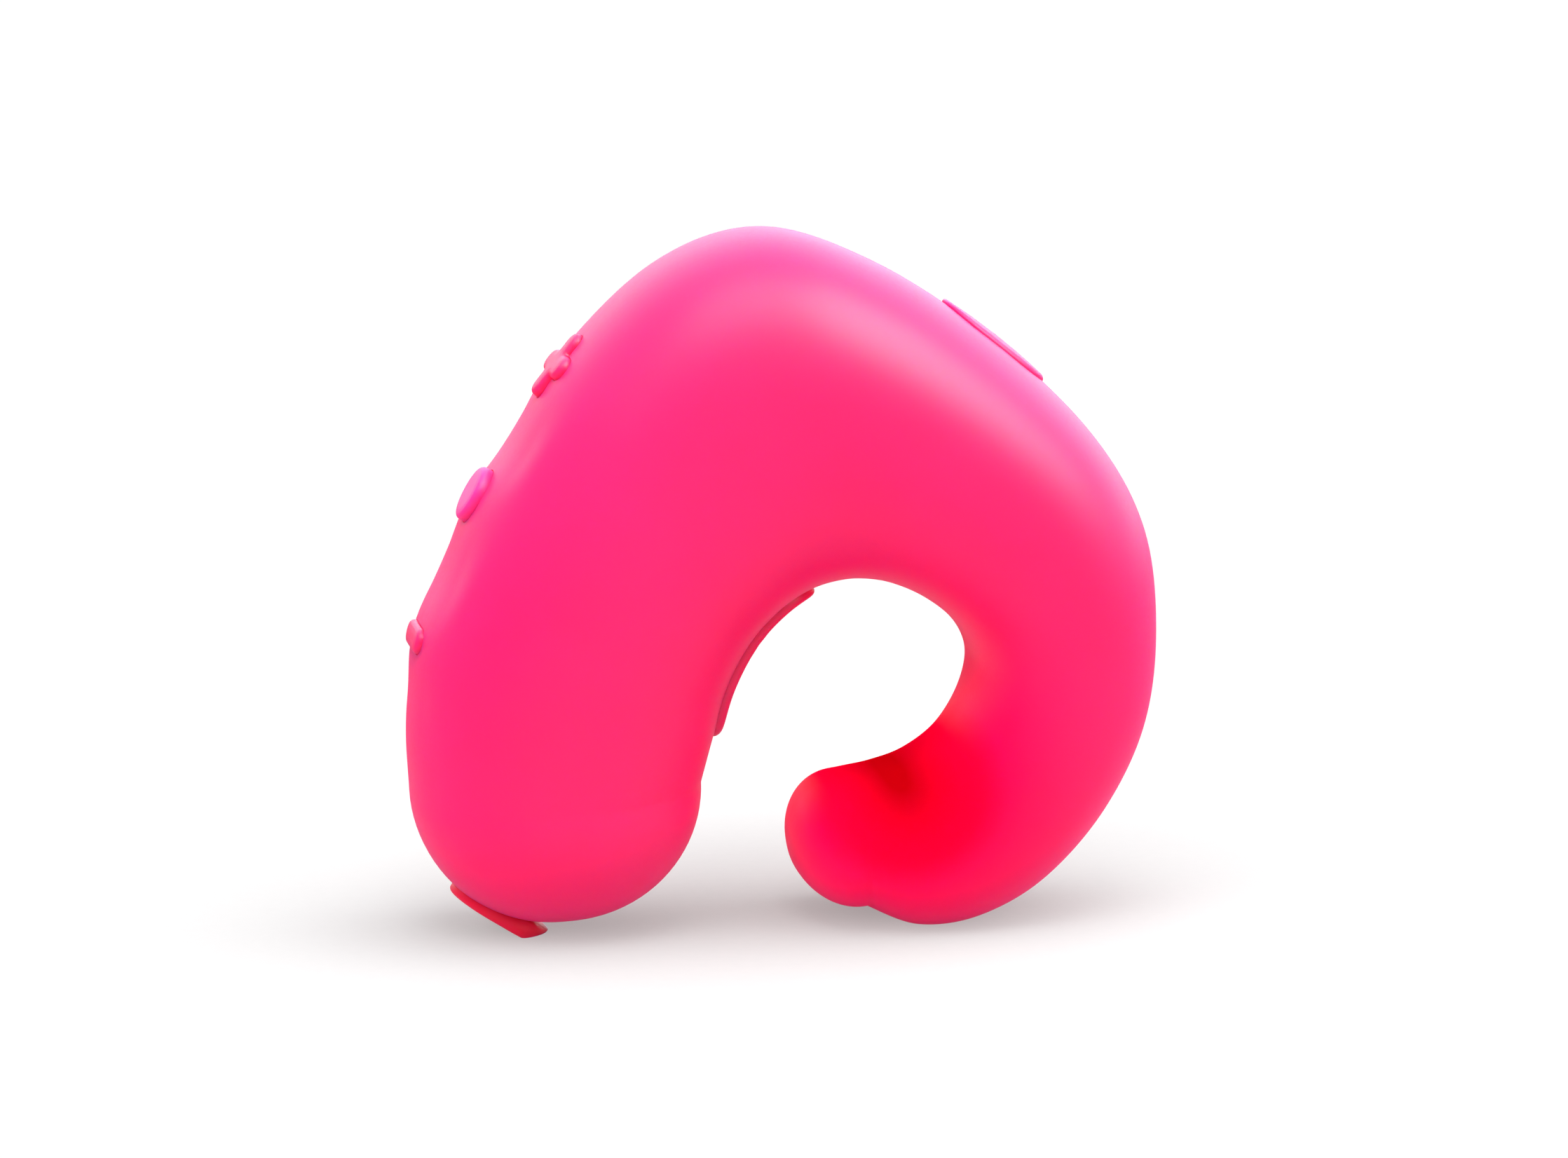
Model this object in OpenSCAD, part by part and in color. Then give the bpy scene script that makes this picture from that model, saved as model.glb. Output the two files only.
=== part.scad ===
// Finger-worn massager: a hooked silicone body with an open finger loop, three keys on its
// outer face, and a sealed case inside that holds the battery, circuit board and motor.
// Millimetres, +Z up, X along the hook, Y across it. The origin is under the body's middle.

/* [Skin] */
// Thickness of the silicone over the inner case
skin_t = 2.4; // [2.0:0.1:2.8]
// How far the finger pad stands off the skin
pad_proud = 0.8; // [0.5:0.1:1.2]
// Squareness of the body's cross-section, where 2 is an ellipse
section_power = 2.4; // [2.1:0.1:2.8]

/* [Keys] */
// Height of the plus, power and minus signs above the skin
key_proud = [0.6, 0.8, 0.5]; // [0.3:0.1:1.2]
// Length of the plus and minus signs
sign_l = 7.0; // [6.0:0.5:8.0]
// Width of a sign's bar
sign_w = 2.4; // [2.0:0.1:2.8]
// Diameter of the round power key
power_d = 5.4; // [4.6:0.2:6.0]
// Free travel of a key
key_travel = 0.5; // [0.3:0.1:0.6]

/* [Motor] */
// Outside diameter of the motor's can
motor_d = 10; // [9:0.5:10.5]
// Length of the motor's can
motor_l = 14; // [12:1:15]
// Diameter of the motor's shaft
shaft_d = 1.5; // [1.0:0.1:2.0]

/* [Battery] */
// Length, width and thickness of the pouch cell
cell = [24, 17, 7]; // [5:1:26]

/* [Hidden] */

// The body is a loft. Each station is [outer x, outer z, inner x, inner z, half width], from
// the motor end, over the crown and round the loop to the free end.
STATIONS = [
    [-34.8, 13.2, -7.9, 14.4, 13.2],
    [-35.1, 21.5, -6.8, 18.6, 14.2],
    [-34.2, 28.4, -5.5, 23.2, 14.8],
    [-31.4, 35.8, -3.3, 27.4, 15.0],
    [-27.0, 44.0, -0.6, 30.3, 15.0],
    [-20.2, 54.0, 2.1, 32.0, 15.0],
    [-11.2, 62.4, 4.7, 32.7, 15.0],
    [-1.5, 65.4, 7.1, 32.8, 15.0],
    [8.9, 62.0, 9.8, 32.3, 15.0],
    [19.6, 54.9, 12.9, 30.9, 14.8],
    [28.7, 46.2, 15.8, 28.7, 14.5],
    [33.7, 37.5, 17.6, 26.2, 14.0],
    [35.0, 27.5, 18.2, 23.5, 13.5],
    [33.9, 18.3, 17.3, 20.3, 13.0],
    [30.0, 10.1, 15.2, 17.2, 12.5],
    [24.3, 3.7, 12.2, 15.2, 12.0],
    [18.1, 0.3, 9.2, 14.3, 11.5],
    [12.3, -0.3, 6.8, 13.9, 11.0],
    [7.4, 1.7, 5.2, 13.6, 10.5]
];
S_END = len(STATIONS) - 1;
POD_CAP = 12.8; // length of the rounded motor end
TAIL_CAP = 5.6; // length of the rounded free end
CASE_END = 8.5; // station where the inner case stops
CASE_CAP = 5;
SIDES = 28;
CASE_SIDES = 20;

case_gap = 0.1; // between skin and case
shell_t = 1.5;
inset_case = skin_t + case_gap;
inset_room = inset_case + shell_t;
key_gap = 0.3; // round each key where it passes the skin
key_s = [4.92, 3.7, 1.98]; // stations of the plus, power and minus keys

// Circuit board: its plane faces the keys.
board_a = -62.2;
board_n = [sin(board_a), 0, cos(board_a)];
board_x = [cos(board_a), 0, -sin(board_a)];
board_c = [-20.2, 0, 38.4]; // middle of its front face
board = [37, 14, 1];

motor_x = -18.6;
motor_z = 14.2; // bottom of the can
weight_z = 9.0;
weight_l = 4.6;
weight_r = 4.2;
shaft_r = shaft_d / 2;
running = 0.04; // radial clearance of the shaft in its bushings
cell_c = [1.4, 0, 47.0];
cell_a = 8; // the cell leans with the crown
lead_r = 0.45;

// Charging port, on the underside of the motor end. Its local z axis points out of the body.
port_n = [-0.54, 0, -0.842];
port_c = [-26.6, 0, 2.3];
port_l = 10;
port_w = 7.6;
port_t = 1.6;
stem_r = 2.6;
pin_x = 1.5;
pin_r = 0.7;
pin_depth = 5.6; // how far the pins reach in

pink = [1.0, 0.12, 0.42];
screw_at = [[-28.4, 14.6], [-9.0, 29.5], [-3.0, 56.2], [11.2, 38.3]];

// ---------- the loft ----------
function knot(i) = STATIONS[min(max(i, 0), S_END)];
function catmull(a, b, c, d, t) =
    0.5 * (2 * b + (c - a) * t + (2 * a - 5 * b + 4 * c - d) * t * t
        + (3 * b - a - 3 * c + d) * t * t * t);
function station(s) =
    let (i = floor(min(s, S_END - 0.0001)))
    catmull(knot(i - 1), knot(i), knot(i + 1), knot(i + 2), s - i);

// A section is [middle, unit vector to the outer side, half thickness, half width].
function section(s, inset) =
    let (v = station(s), e = [v[0] - v[2], 0, v[1] - v[3]] / 2)
    [[(v[0] + v[2]) / 2, 0, (v[1] + v[3]) / 2], e / norm(e), norm(e) - inset, v[4] - inset];

function bulge(x) = sign(x) * pow(abs(x), 2 / section_power);
function at_angle(q, a) =
    q[0] + q[1] * q[2] * bulge(cos(a)) + [0, q[3] * bulge(sin(a)), 0];
function ring(q, sides) = [for (j = [0 : sides - 1]) at_angle(q, 360 * (j + 0.5) / sides)];

// One ring of a rounded end: f is 1 at its base and 0 at its tip.
function cap_section(q, reach, f) =
    let (out = [q[1][2], 0, -q[1][0]])
    [q[0] + out * reach * sqrt(1 - f * f), q[1], q[2] * f, q[3] * f];
function cap_steps(n) = [for (i = [1 : n]) sin(90 * i / (n + 1))];

// Faces are listed counter-clockwise as seen from outside, and turned over here.
module solid(points, faces) {
    polyhedron(points, [for (f = faces) [for (i = [len(f) - 1 : -1 : 0]) f[i]]]);
}

// Rings from station a to b. A cap of 0 leaves that end flat.
function loft_sections(a, b, inset, cap_a, cap_b, step) =
    let (qa = section(a, inset), qb = section(b, inset), n = round((b - a) / step))
    concat(
        cap_a > 0 ? [for (f = cap_steps(6)) cap_section(qa, -cap_a, f)] : [],
        [for (i = [0 : n]) section(a + (b - a) * i / n, inset)],
        cap_b > 0 ? [for (f = cap_steps(6)) cap_section(qb, cap_b, cos(asin(f)))] : []
    );

module loft(a, b, inset = 0, cap_a = 0, cap_b = 0, sides = SIDES, step = 0.5) {
    q = loft_sections(a, b, inset, cap_a, cap_b, step);
    n = len(q);
    qa = section(a, inset);
    qb = section(b, inset);
    tip_a = cap_section(qa, -cap_a, 0)[0];
    tip_b = cap_section(qb, cap_b, 0)[0];
    points = concat([for (r = q) each ring(r, sides)], [tip_a, tip_b]);
    faces = concat(
        [for (i = [0 : n - 2], j = [0 : sides - 1])
            let (k = (j + 1) % sides, p = i * sides, r = p + sides)
            each 2 * j < sides
                ? [[p + j, r + k, p + k], [p + j, r + j, r + k]]
                : [[p + j, r + j, p + k], [p + k, r + j, r + k]]],
        [for (j = [0 : sides - 1]) [n * sides, j, (j + 1) % sides]],
        [for (j = [0 : sides - 1])
            let (p = (n - 1) * sides) [n * sides + 1, p + (j + 1) % sides, p + j]]
    );
    solid(points, faces);
}

// A point on the outer middle line, and the outward normal there.
function outer_point(s) = let (v = station(s)) [v[0], 0, v[1]];
function outer_normal(s) =
    let (d = outer_point(s + 0.1) - outer_point(s - 0.1)) [-d[2], 0, d[0]] / norm(d);

// Puts children with local z along the surface normal at station s.
module on_skin(s) {
    n = outer_normal(s);
    translate(outer_point(s)) rotate([0, atan2(n[0], n[2]), 0]) children();
}

module at_board() {
    translate(board_c) rotate([0, board_a, 0]) children();
}

module at_port() {
    translate(port_c) rotate([0, 180 + atan2(-port_n[0], -port_n[2]), 0]) children();
}

// Rounded bar of length l and width w, centred, along x.
module bar(l, w) {
    square([l - w, w], center = true);
    for (x = [-1, 1]) translate([x * (l - w) / 2, 0]) circle(d = w, $fn = 48);
}

// ---------- shared volumes ----------
// Half way through the case's wall: ribs and posts are trimmed to it.
module case_middle() {
    d = shell_t / 2;
    loft(0, CASE_END, inset_case + d, POD_CAP - inset_case - d, CASE_CAP - d, CASE_SIDES);
}
module skin_cavity() {
    loft(0, CASE_END, skin_t, POD_CAP - skin_t, CASE_CAP + case_gap, CASE_SIDES);
}

// ---------- silicone ----------
module sign_plus(grow = 0) {
    bar(sign_l + 2 * grow, sign_w + 2 * grow);
    rotate(90) bar(sign_l + 2 * grow, sign_w + 2 * grow);
}
module sign_power(grow = 0) {
    circle(d = power_d + 2 * grow, $fn = 64);
}
module sign_minus(grow = 0) {
    rotate(90) bar(sign_l + 2 * grow, sign_w + 2 * grow);
}
module sign(k, grow = 0) {
    if (k == 0) sign_plus(grow);
    if (k == 1) sign_power(grow);
    if (k == 2) sign_minus(grow);
}

// The plain raised oval on the crown's outer side.
module crown_emblem() {
    on_skin(9.05) translate([0, 0, -1.5]) linear_extrude(1.9) bar(12.6, 8.4);
}

module silicone_skin() {
    color(pink) difference() {
        union() {
            loft(0, S_END, 0, POD_CAP, TAIL_CAP);
            crown_emblem();
        }
        skin_cavity();
        for (k = [0 : 2]) on_skin(key_s[k]) translate([0, 0, -4])
            linear_extrude(8) sign(k, key_gap);
        at_port() translate([0, 0, -5]) cylinder(r = stem_r + 0.3, h = 5, $fn = 64);
        at_port() translate([0, 0, -0.6]) linear_extrude(4) bar(port_l + 0.5, port_w + 0.5);
        pad_solid(0.05, 1.4);
        translate([-50, -30, -20]) cube([100, 60, 20]);
    }
}

// The finger pad lies along the inner side, partly let into the skin.
pad_from = 0.9;
pad_to = 5.2;
pad_half = 6.2;
pad_depth = 0.7;
function pad_row(s, lift, side) =
    let (q = section(s, -lift), f = (s - pad_from) / (pad_to - pad_from),
        y = side * pad_half * sqrt(max(0.06, 1 - pow(abs(2 * f - 1), 4))))
    q[0] - q[1] * q[2] * pow(1 - pow(abs(y) / q[3], section_power), 1 / section_power)
        + [0, y, 0];
module pad_solid(grow = 0, lift = pad_proud) {
    steps = 16;
    across = 6;
    lo = pad_from - grow / 5;
    span = pad_to - pad_from + 2 * grow / 5;
    w = across + 1;
    top = [for (i = [0 : steps], j = [0 : across])
        pad_row(lo + span * i / steps, lift, (2 * j / across - 1) * (1 + grow / pad_half))];
    low = [for (i = [0 : steps], j = [0 : across])
        pad_row(lo + span * i / steps, -pad_depth - grow, (2 * j / across - 1)
            * (1 + grow / pad_half))];
    m = len(top);
    cells = [for (i = [0 : steps - 1], j = [0 : across - 1]) i * w + j];
    sides = concat(
        [for (i = [0 : steps - 1]) [i * w, (i + 1) * w]],
        [for (j = [0 : across - 1]) [steps * w + j, steps * w + j + 1]],
        [for (i = [steps - 1 : -1 : 0]) [(i + 1) * w + across, i * w + across]],
        [for (j = [across - 1 : -1 : 0]) [j + 1, j]]
    );
    faces = concat(
        [for (c = cells) each [[c, c + 1, c + w + 1], [c, c + w + 1, c + w]]],
        [for (c = cells) each [[m + c, m + c + w + 1, m + c + 1], [m + c, m + c + w, m + c + w + 1]]],
        [for (e = sides) each [[e[0], e[1], m + e[1]], [e[0], m + e[1], m + e[0]]]]
    );
    solid(concat(top, low), faces);
}
module finger_pad() {
    color([1.0, 0.3, 0.5]) pad_solid();
}

// ---------- case ----------
module screw_line(k) {
    translate([screw_at[k][0], 0, screw_at[k][1]]) rotate([90, 0, 0]) children();
}

// Half a ring, closed on the plane Y = 0, with its sides parallel to the skin's cavity.
function half_ring(q) =
    let (r = [for (j = [0 : CASE_SIDES / 2 - 1]) at_angle(q, 360 * (j + 0.5) / CASE_SIDES)],
        a = r[0], b = r[len(r) - 1])
    concat([[a[0], 0, a[2]]], r, [[b[0], 0, b[2]]]);

// One side of the case: a strip of wall between an outer and an inner half ring, swept from
// tip to tip. It lies on the +Y side.
module half_case() {
    m = CASE_SIDES / 2 + 1;
    outer = loft_sections(0, CASE_END, inset_case, POD_CAP - inset_case, CASE_CAP, 0.5);
    inner = loft_sections(0, CASE_END, inset_room, POD_CAP - inset_room, CASE_CAP - shell_t, 0.5);
    n = len(outer);
    w = 2 * (m + 1);
    first = [section(0, inset_case), section(0, inset_room)];
    last = [section(CASE_END, inset_case), section(CASE_END, inset_room)];
    tips = [
        cap_section(first[0], inset_case - POD_CAP, 0)[0],
        cap_section(first[1], inset_room - POD_CAP, 0)[0],
        cap_section(last[0], CASE_CAP, 0)[0],
        cap_section(last[1], CASE_CAP - shell_t, 0)[0]
    ];
    points = concat([for (i = [0 : n - 1])
        let (a = half_ring(outer[i]), b = half_ring(inner[i]))
        each concat(a, [for (j = [m : -1 : 0]) b[j]])], tips);
    t = n * w;
    e = (n - 1) * w;
    faces = concat(
        [for (i = [0 : n - 2], j = [0 : w - 1])
            let (k = (j + 1) % w, p = i * w, r = p + w)
            each [[p + j, r + k, p + k], [p + j, r + j, r + k]]],
        [for (j = [0 : m - 1]) each [[t, j, j + 1], [t + 1, m + 1 + j, m + 2 + j]]],
        [[t, m, m + 1], [t, m + 1, t + 1], [t + 1, w - 1, 0], [t + 1, 0, t]],
        [for (j = [0 : m - 1]) each [[t + 2, e + j + 1, e + j], [t + 3, e + m + 2 + j, e + m + 1 + j]]],
        [[t + 2, e + m + 1, e + m], [t + 2, t + 3, e + m + 1], [t + 3, e, e + w - 1],
            [t + 3, t + 2, e]]
    );
    solid(points, faces);
}

// Posts for the screws, and walls that cradle the motor, the board and the cell.
rib_t = 1.2;
module case_ribs() {
    intersection() {
        case_middle();
        union() {
            for (k = [0 : 3]) screw_line(k) translate([0, 0, -30]) cylinder(r = 2.0, h = 30, $fn = 48);
            translate([-22, 0, 16.5]) cube([40, 30, rib_t]);
            translate([-60, 0, 25]) cube([60, 30, rib_t]);
            translate([-60, 0, 50]) cube([50.5, 30, rib_t]);
            for (x = [-4.5, 7.4]) translate([x, 0, 30]) cube([rib_t, 30, 40]);
        }
    }
}

module shell_half() {
    translate([0, 0.03, 0]) difference() {
        union() {
            half_case();
            case_ribs();
        }
        translate([motor_x, 0, 5]) cylinder(r = motor_d / 2 + 1.1, h = 24, $fn = 64);
        at_board() translate([0, 0, -3.1]) cube([board[0] + 0.3, board[1] + 0.2, 6.4], center = true);
        at_board() translate([0, 0, 1]) cube([board[0] + 0.3, board[1] - 2, 2.2], center = true);
        at_cell() translate([-1, 0, -0.45]) cube(cell + [3, 0.2, 1.2], center = true);
        for (k = [0 : 2]) on_skin(key_s[k]) translate([0, 0, -9])
            cylinder(r = 3.1, h = 9, $fn = 48);
        at_port() translate([0, 0, -5.5]) cylinder(r = stem_r + 0.05, h = 6, $fn = 64);
    }
}

module shell_front() {
    color("gainsboro") difference() {
        mirror([0, 1, 0]) shell_half();
        for (k = [0 : 3]) screw_line(k) {
            cylinder(r = 0.85, h = 40, center = true, $fn = 32);
            translate([0, 0, 6.5]) cylinder(r = 1.6, h = 20, $fn = 32);
        }
    }
}

module shell_back() {
    color("gainsboro") difference() {
        shell_half();
        for (k = [0 : 3]) screw_line(k) translate([0, 0, -6.2])
            cylinder(r = 0.8, h = 12, $fn = 32);
    }
}

module shell_screws() {
    color("silver") for (k = [0 : 3]) screw_line(k) difference() {
        union() {
            translate([0, 0, -6]) cylinder(r = 0.78, h = 12.7, $fn = 32);
            translate([0, 0, 6.55]) cylinder(r = 1.5, h = 0.8, $fn = 32);
        }
        for (a = [0, 90]) translate([0, 0, 7.2]) rotate(a)
            cube([1.8, 0.35, 0.6], center = true);
    }
}

// ---------- keys ----------
// Raised silicone sign on a disc, with a stiff plunger behind it.
key_under = 1.2; // top of the plunger, below the skin's outside
module button(k) {
    color(pink) on_skin(key_s[k]) translate([0, 0, -key_under])
        linear_extrude(key_under + key_proud[k]) sign(k);
}
module plunger(k) {
    tip = key_reach(k, switch_h) - key_travel - 0.35;
    color("white") on_skin(key_s[k]) {
        translate([0, 0, -skin_t - 0.6]) cylinder(r = 1.2, h = skin_t + 0.6 - key_under, $fn = 32);
        translate([0, 0, -skin_t - shell_t]) cylinder(r = 2.8, h = shell_t - 0.3, $fn = 48);
        translate([0, 0, -tip]) cylinder(r = 0.9, h = tip - skin_t - 1, $fn = 32);
    }
}

// ---------- electronics ----------
function board_point(x, y, z) = board_c + x * board_x + z * board_n + [0, y, 0];
// Distance along key k's axis from the skin to a plane this far in front of the board.
function key_reach(k, lift) =
    ((outer_point(key_s[k]) - board_c) * board_n - lift) / (outer_normal(key_s[k]) * board_n);
// Where key k's axis meets the board, along the board.
function switch_x(k) =
    (outer_point(key_s[k]) - key_reach(k, 0) * outer_normal(key_s[k]) - board_c) * board_x;
switch_h = 1.2;
module circuit_board() {
    color("darkgreen") at_board() difference() {
        translate([0, 0, -board[2] / 2]) cube(board, center = true);
        for (x = [-1, 1], y = [-1, 1]) translate([x * 16.5, y * 5.2, -3])
            cylinder(r = 0.6, h = 6, $fn = 24);
    }
}
module tact_switches() {
    color("dimgray") at_board() for (k = [0 : 2]) translate([switch_x(k), 0, 0]) {
        translate([0, 0, 0.45]) cube([3.4, 4.4, 0.9], center = true);
        translate([0, 0, 0.9]) cylinder(r = 1.0, h = 0.3, $fn = 32);
    }
}
module board_chips() {
    color([0.1, 0.1, 0.12]) at_board() {
        translate([-6.6, 0, -1.45]) cube([5, 5, 0.9], center = true);
        translate([2, 3.4, -1.4]) cube([3, 3, 0.8], center = true);
        translate([2, -3.2, -1.5]) cube([2.5, 2, 1.0], center = true);
        for (i = [1 : 4]) translate([7 + 2 * i, (i % 2) * 6 - 3, -1.25])
            cube([1, 1.8, 0.5], center = true);
    }
}
module status_led() {
    color("white") at_board() translate([5.4, 0, 0]) {
        translate([0, 0, 0.35]) cube([2, 1.25, 0.7], center = true);
        translate([0, 0, 0.7]) cylinder(r = 0.5, h = 0.25, $fn = 24);
    }
}

module at_cell() {
    translate(cell_c) rotate([0, cell_a, 0]) children();
}
module battery_cell() {
    color("silver") at_cell() {
        cube(cell, center = true);
        translate([-cell[0] / 2 - 0.6, 0, 0]) cube([1.2, cell[1] - 4, 1.4], center = true);
    }
}
module battery_tape() {
    color("ivory") at_cell() translate([0, 0, -cell[2] / 2 - 0.45])
        cube([cell[0] - 4, cell[1] - 4, 0.8], center = true);
}

// ---------- motor ----------
can_t = 0.5;
module on_motor(z = 0) {
    translate([motor_x, 0, motor_z + z]) children();
}
module motor_can() {
    color("silver") on_motor() difference() {
        cylinder(d = motor_d, h = motor_l - 1, $fn = 96);
        translate([0, 0, can_t]) cylinder(d = motor_d - 2 * can_t, h = motor_l, $fn = 96);
        translate([0, 0, -1]) cylinder(r = 1.7, h = 3, $fn = 48);
    }
}
module motor_end_cap() {
    color([0.15, 0.15, 0.17]) on_motor(motor_l - 0.95) difference() {
        union() {
            cylinder(d = motor_d, h = 0.95, $fn = 96);
            translate([0, 0, -1.2]) cylinder(d = motor_d - 2 * can_t - 0.1, h = 1.2, $fn = 96);
        }
        translate([0, 0, -2]) cylinder(r = 1.7, h = 2.4, $fn = 48);
    }
}
module motor_bushings() {
    color("goldenrod") for (z = [-0.4, motor_l - 2.1]) on_motor(z) difference() {
        cylinder(r = 1.65, h = 1.5, $fn = 48);
        translate([0, 0, -1]) cylinder(r = shaft_r + running, h = 4, $fn = 48);
    }
}
module motor_magnet() {
    color([0.35, 0.35, 0.38]) on_motor(1.1) difference() {
        cylinder(r = 3.0, h = motor_l - 5.1, $fn = 64);
        translate([0, 0, -1]) cylinder(r = shaft_r + 0.35, h = 20, $fn = 48);
    }
}
module motor_coil() {
    color([0.72, 0.4, 0.18]) on_motor(1.7) difference() {
        cylinder(r = 4.15, h = motor_l - 4.6, $fn = 64);
        translate([0, 0, -1]) cylinder(r = 3.35, h = motor_l - 4.5, $fn = 64);
        translate([0, 0, -2]) cylinder(r = shaft_r, h = 20, $fn = 48);
    }
}
module motor_shaft() {
    color("lightgray") translate([motor_x, 0, weight_z - 0.3])
        cylinder(r = shaft_r, h = motor_z + motor_l - 0.9 - weight_z + 0.3, $fn = 48);
}
module eccentric_weight() {
    color("dimgray") translate([motor_x, 0, weight_z]) difference() {
        union() {
            intersection() {
                cylinder(r = weight_r, h = weight_l, $fn = 64);
                translate([-10, 0.4, 0]) cube([20, 10, weight_l]);
            }
            cylinder(r = 1.9, h = weight_l, $fn = 48);
        }
        translate([0, 0, -1]) cylinder(r = shaft_r, h = 20, $fn = 48);
    }
}
module motor_sleeve() {
    color([0.25, 0.25, 0.27]) on_motor(1.2) difference() {
        cylinder(r = motor_d / 2 + 1.0, h = motor_l - 1.6, $fn = 96);
        translate([0, 0, -1]) cylinder(r = motor_d / 2 + 0.02, h = 30, $fn = 96);
    }
}

// ---------- charging port ----------
module port_housing() {
    color(pink) intersection() {
        at_port() difference() {
            union() {
                translate([0, 0, -0.5]) linear_extrude(port_t) bar(port_l, port_w);
                translate([0, 0, -4.6]) cylinder(r = stem_r, h = 4.2, $fn = 64);
            }
            for (x = [-1, 1]) translate([x * pin_x, 0, -10]) cylinder(r = pin_r, h = 20, $fn = 32);
            for (y = [-1, 1]) translate([0, y * 2.6, -0.6]) cylinder(r = 0.95, h = 1.1, $fn = 32);
        }
        translate([-60, -30, 0]) cube([120, 60, 90]);
    }
}
module port_seal() {
    color([0.2, 0.2, 0.2]) at_port() translate([0, 0, -1.7]) rotate_extrude($fn = 64)
        translate([stem_r + 0.16, 0]) circle(r = 0.13, $fn = 24);
}
module port_magnets() {
    color("gray") at_port() for (y = [-1, 1]) translate([0, y * 2.6, -0.55])
        cylinder(r = 0.9, h = 1.0, $fn = 32);
}
module contact_pins() {
    color("gold") at_port() for (x = [-1, 1]) translate([x * pin_x, 0, -pin_depth])
        cylinder(r = pin_r - 0.02, h = pin_depth + port_t - 0.4, $fn = 32);
}

// ---------- wiring ----------
// A lead is a tube swept along points: eight sides, one ring a point.
function frame_at(p, i) =
    let (a = p[max(i - 1, 0)], b = p[min(i + 1, len(p) - 1)], t = (b - a) / norm(b - a),
        u0 = cross(t, [0, 0, 1]), u = norm(u0) > 0.2 ? u0 / norm(u0) : [0, 1, 0],
        v = cross(t, u))
    [u - t * (u * t), v];
function smooth(p, n) = [for (i = [0 : len(p) - 2], k = [0 : n - 1])
    catmull(p[max(i - 1, 0)], p[i], p[i + 1], p[min(i + 2, len(p) - 1)], k / n), p[len(p) - 1]];
module lead(route) {
    p = smooth(route, 3);
    n = len(p);
    points = [for (i = [0 : n - 1], j = [0 : 7])
        let (f = frame_at(p, i), u = f[0] / norm(f[0])) p[i]
            + lead_r * (u * cos(45 * j) + f[1] * sin(45 * j))];
    faces = concat(
        [for (i = [0 : n - 2], j = [0 : 7]) let (a = 8 * i + j, b = 8 * i + (j + 1) % 8)
            each [[a, b, b + 8], [a, b + 8, a + 8]]],
        [[for (j = [7 : -1 : 0]) j]],
        [[for (j = [0 : 7]) 8 * (n - 1) + j]]
    );
    solid(points, faces);
}
module battery_leads() {
    for (y = [-1, 1]) color(y > 0 ? "firebrick" : "black")
        lead([[-11.8, y * 2, 48.9], [-12.6, y * 2.2, 48.5], [-13.4, y * 2.5, 47.2],
            board_point(7, y * 2.6, -2.4), board_point(7, y * 2.6, -1.12)]);
}
module motor_leads() {
    for (y = [-1, 1]) color(y > 0 ? "royalblue" : "black")
        lead([[motor_x, y * 3, motor_z + motor_l + 0.02], [motor_x - 0.2, y * 3.2, 30.4],
            [motor_x - 0.8, y * 3.9, 32], board_point(-6, y * 4.4, -2.4),
            board_point(-6, y * 4.4, -1.12)]);
}
function pin_end(side, d) = port_c + side * pin_x * [port_n[2], 0, -port_n[0]]
    - (pin_depth + d) * port_n;
module charge_leads() {
    bends = [[-24.6, 1.6, 9.6], [-22.9, -1.8, 7.6]];
    for (k = [0, 1]) color(k == 0 ? "firebrick" : "black") {
        y = 1 - 2 * k;
        lead([pin_end(y, 0.25), pin_end(y, 0.85), bends[k], [-24.4, y * 3.8, 11], [-25.4, y * 4.6, 14],
            [-25.6, y * 4.6, 17.5], [-25.7, y * 4.6, 20.6], board_point(-16.5, y * 4.6, -2.3),
            board_point(-16.5, y * 4.6, -1.12)]);
    }
}

silicone_skin();
finger_pad();
shell_front();
shell_back();
shell_screws();
button(0);  // button_plus
button(1);  // button_power
button(2);  // button_minus
plunger(0);  // plunger_plus
plunger(1);  // plunger_power
plunger(2);  // plunger_minus
circuit_board();
tact_switches();
board_chips();
status_led();
battery_cell();
battery_tape();
motor_can();
motor_end_cap();
motor_magnet();
motor_bushings();
motor_sleeve();
motor_coil();
motor_shaft();
eccentric_weight();
port_housing();
port_seal();
port_magnets();
contact_pins();
battery_leads();
motor_leads();
charge_leads();
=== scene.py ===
"""Finger-worn massager: the visible silicone body, keys, pad and charging port, with materials."""

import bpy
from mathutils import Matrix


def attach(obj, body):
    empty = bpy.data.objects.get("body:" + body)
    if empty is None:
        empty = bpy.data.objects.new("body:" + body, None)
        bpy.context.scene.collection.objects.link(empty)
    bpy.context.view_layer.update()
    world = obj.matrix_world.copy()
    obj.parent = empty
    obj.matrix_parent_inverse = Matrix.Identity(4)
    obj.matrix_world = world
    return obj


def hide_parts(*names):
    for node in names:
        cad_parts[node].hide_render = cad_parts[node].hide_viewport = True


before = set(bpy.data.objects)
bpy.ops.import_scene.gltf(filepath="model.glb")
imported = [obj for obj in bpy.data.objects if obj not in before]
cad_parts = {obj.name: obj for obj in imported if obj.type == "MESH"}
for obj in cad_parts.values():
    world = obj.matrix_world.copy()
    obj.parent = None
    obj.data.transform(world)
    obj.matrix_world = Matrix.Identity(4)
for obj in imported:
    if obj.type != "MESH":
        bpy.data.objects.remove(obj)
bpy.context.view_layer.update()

import math

import bmesh
import bpy
from mathutils import Matrix, Vector
from mathutils.bvhtree import BVHTree

MM = 0.001

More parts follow.
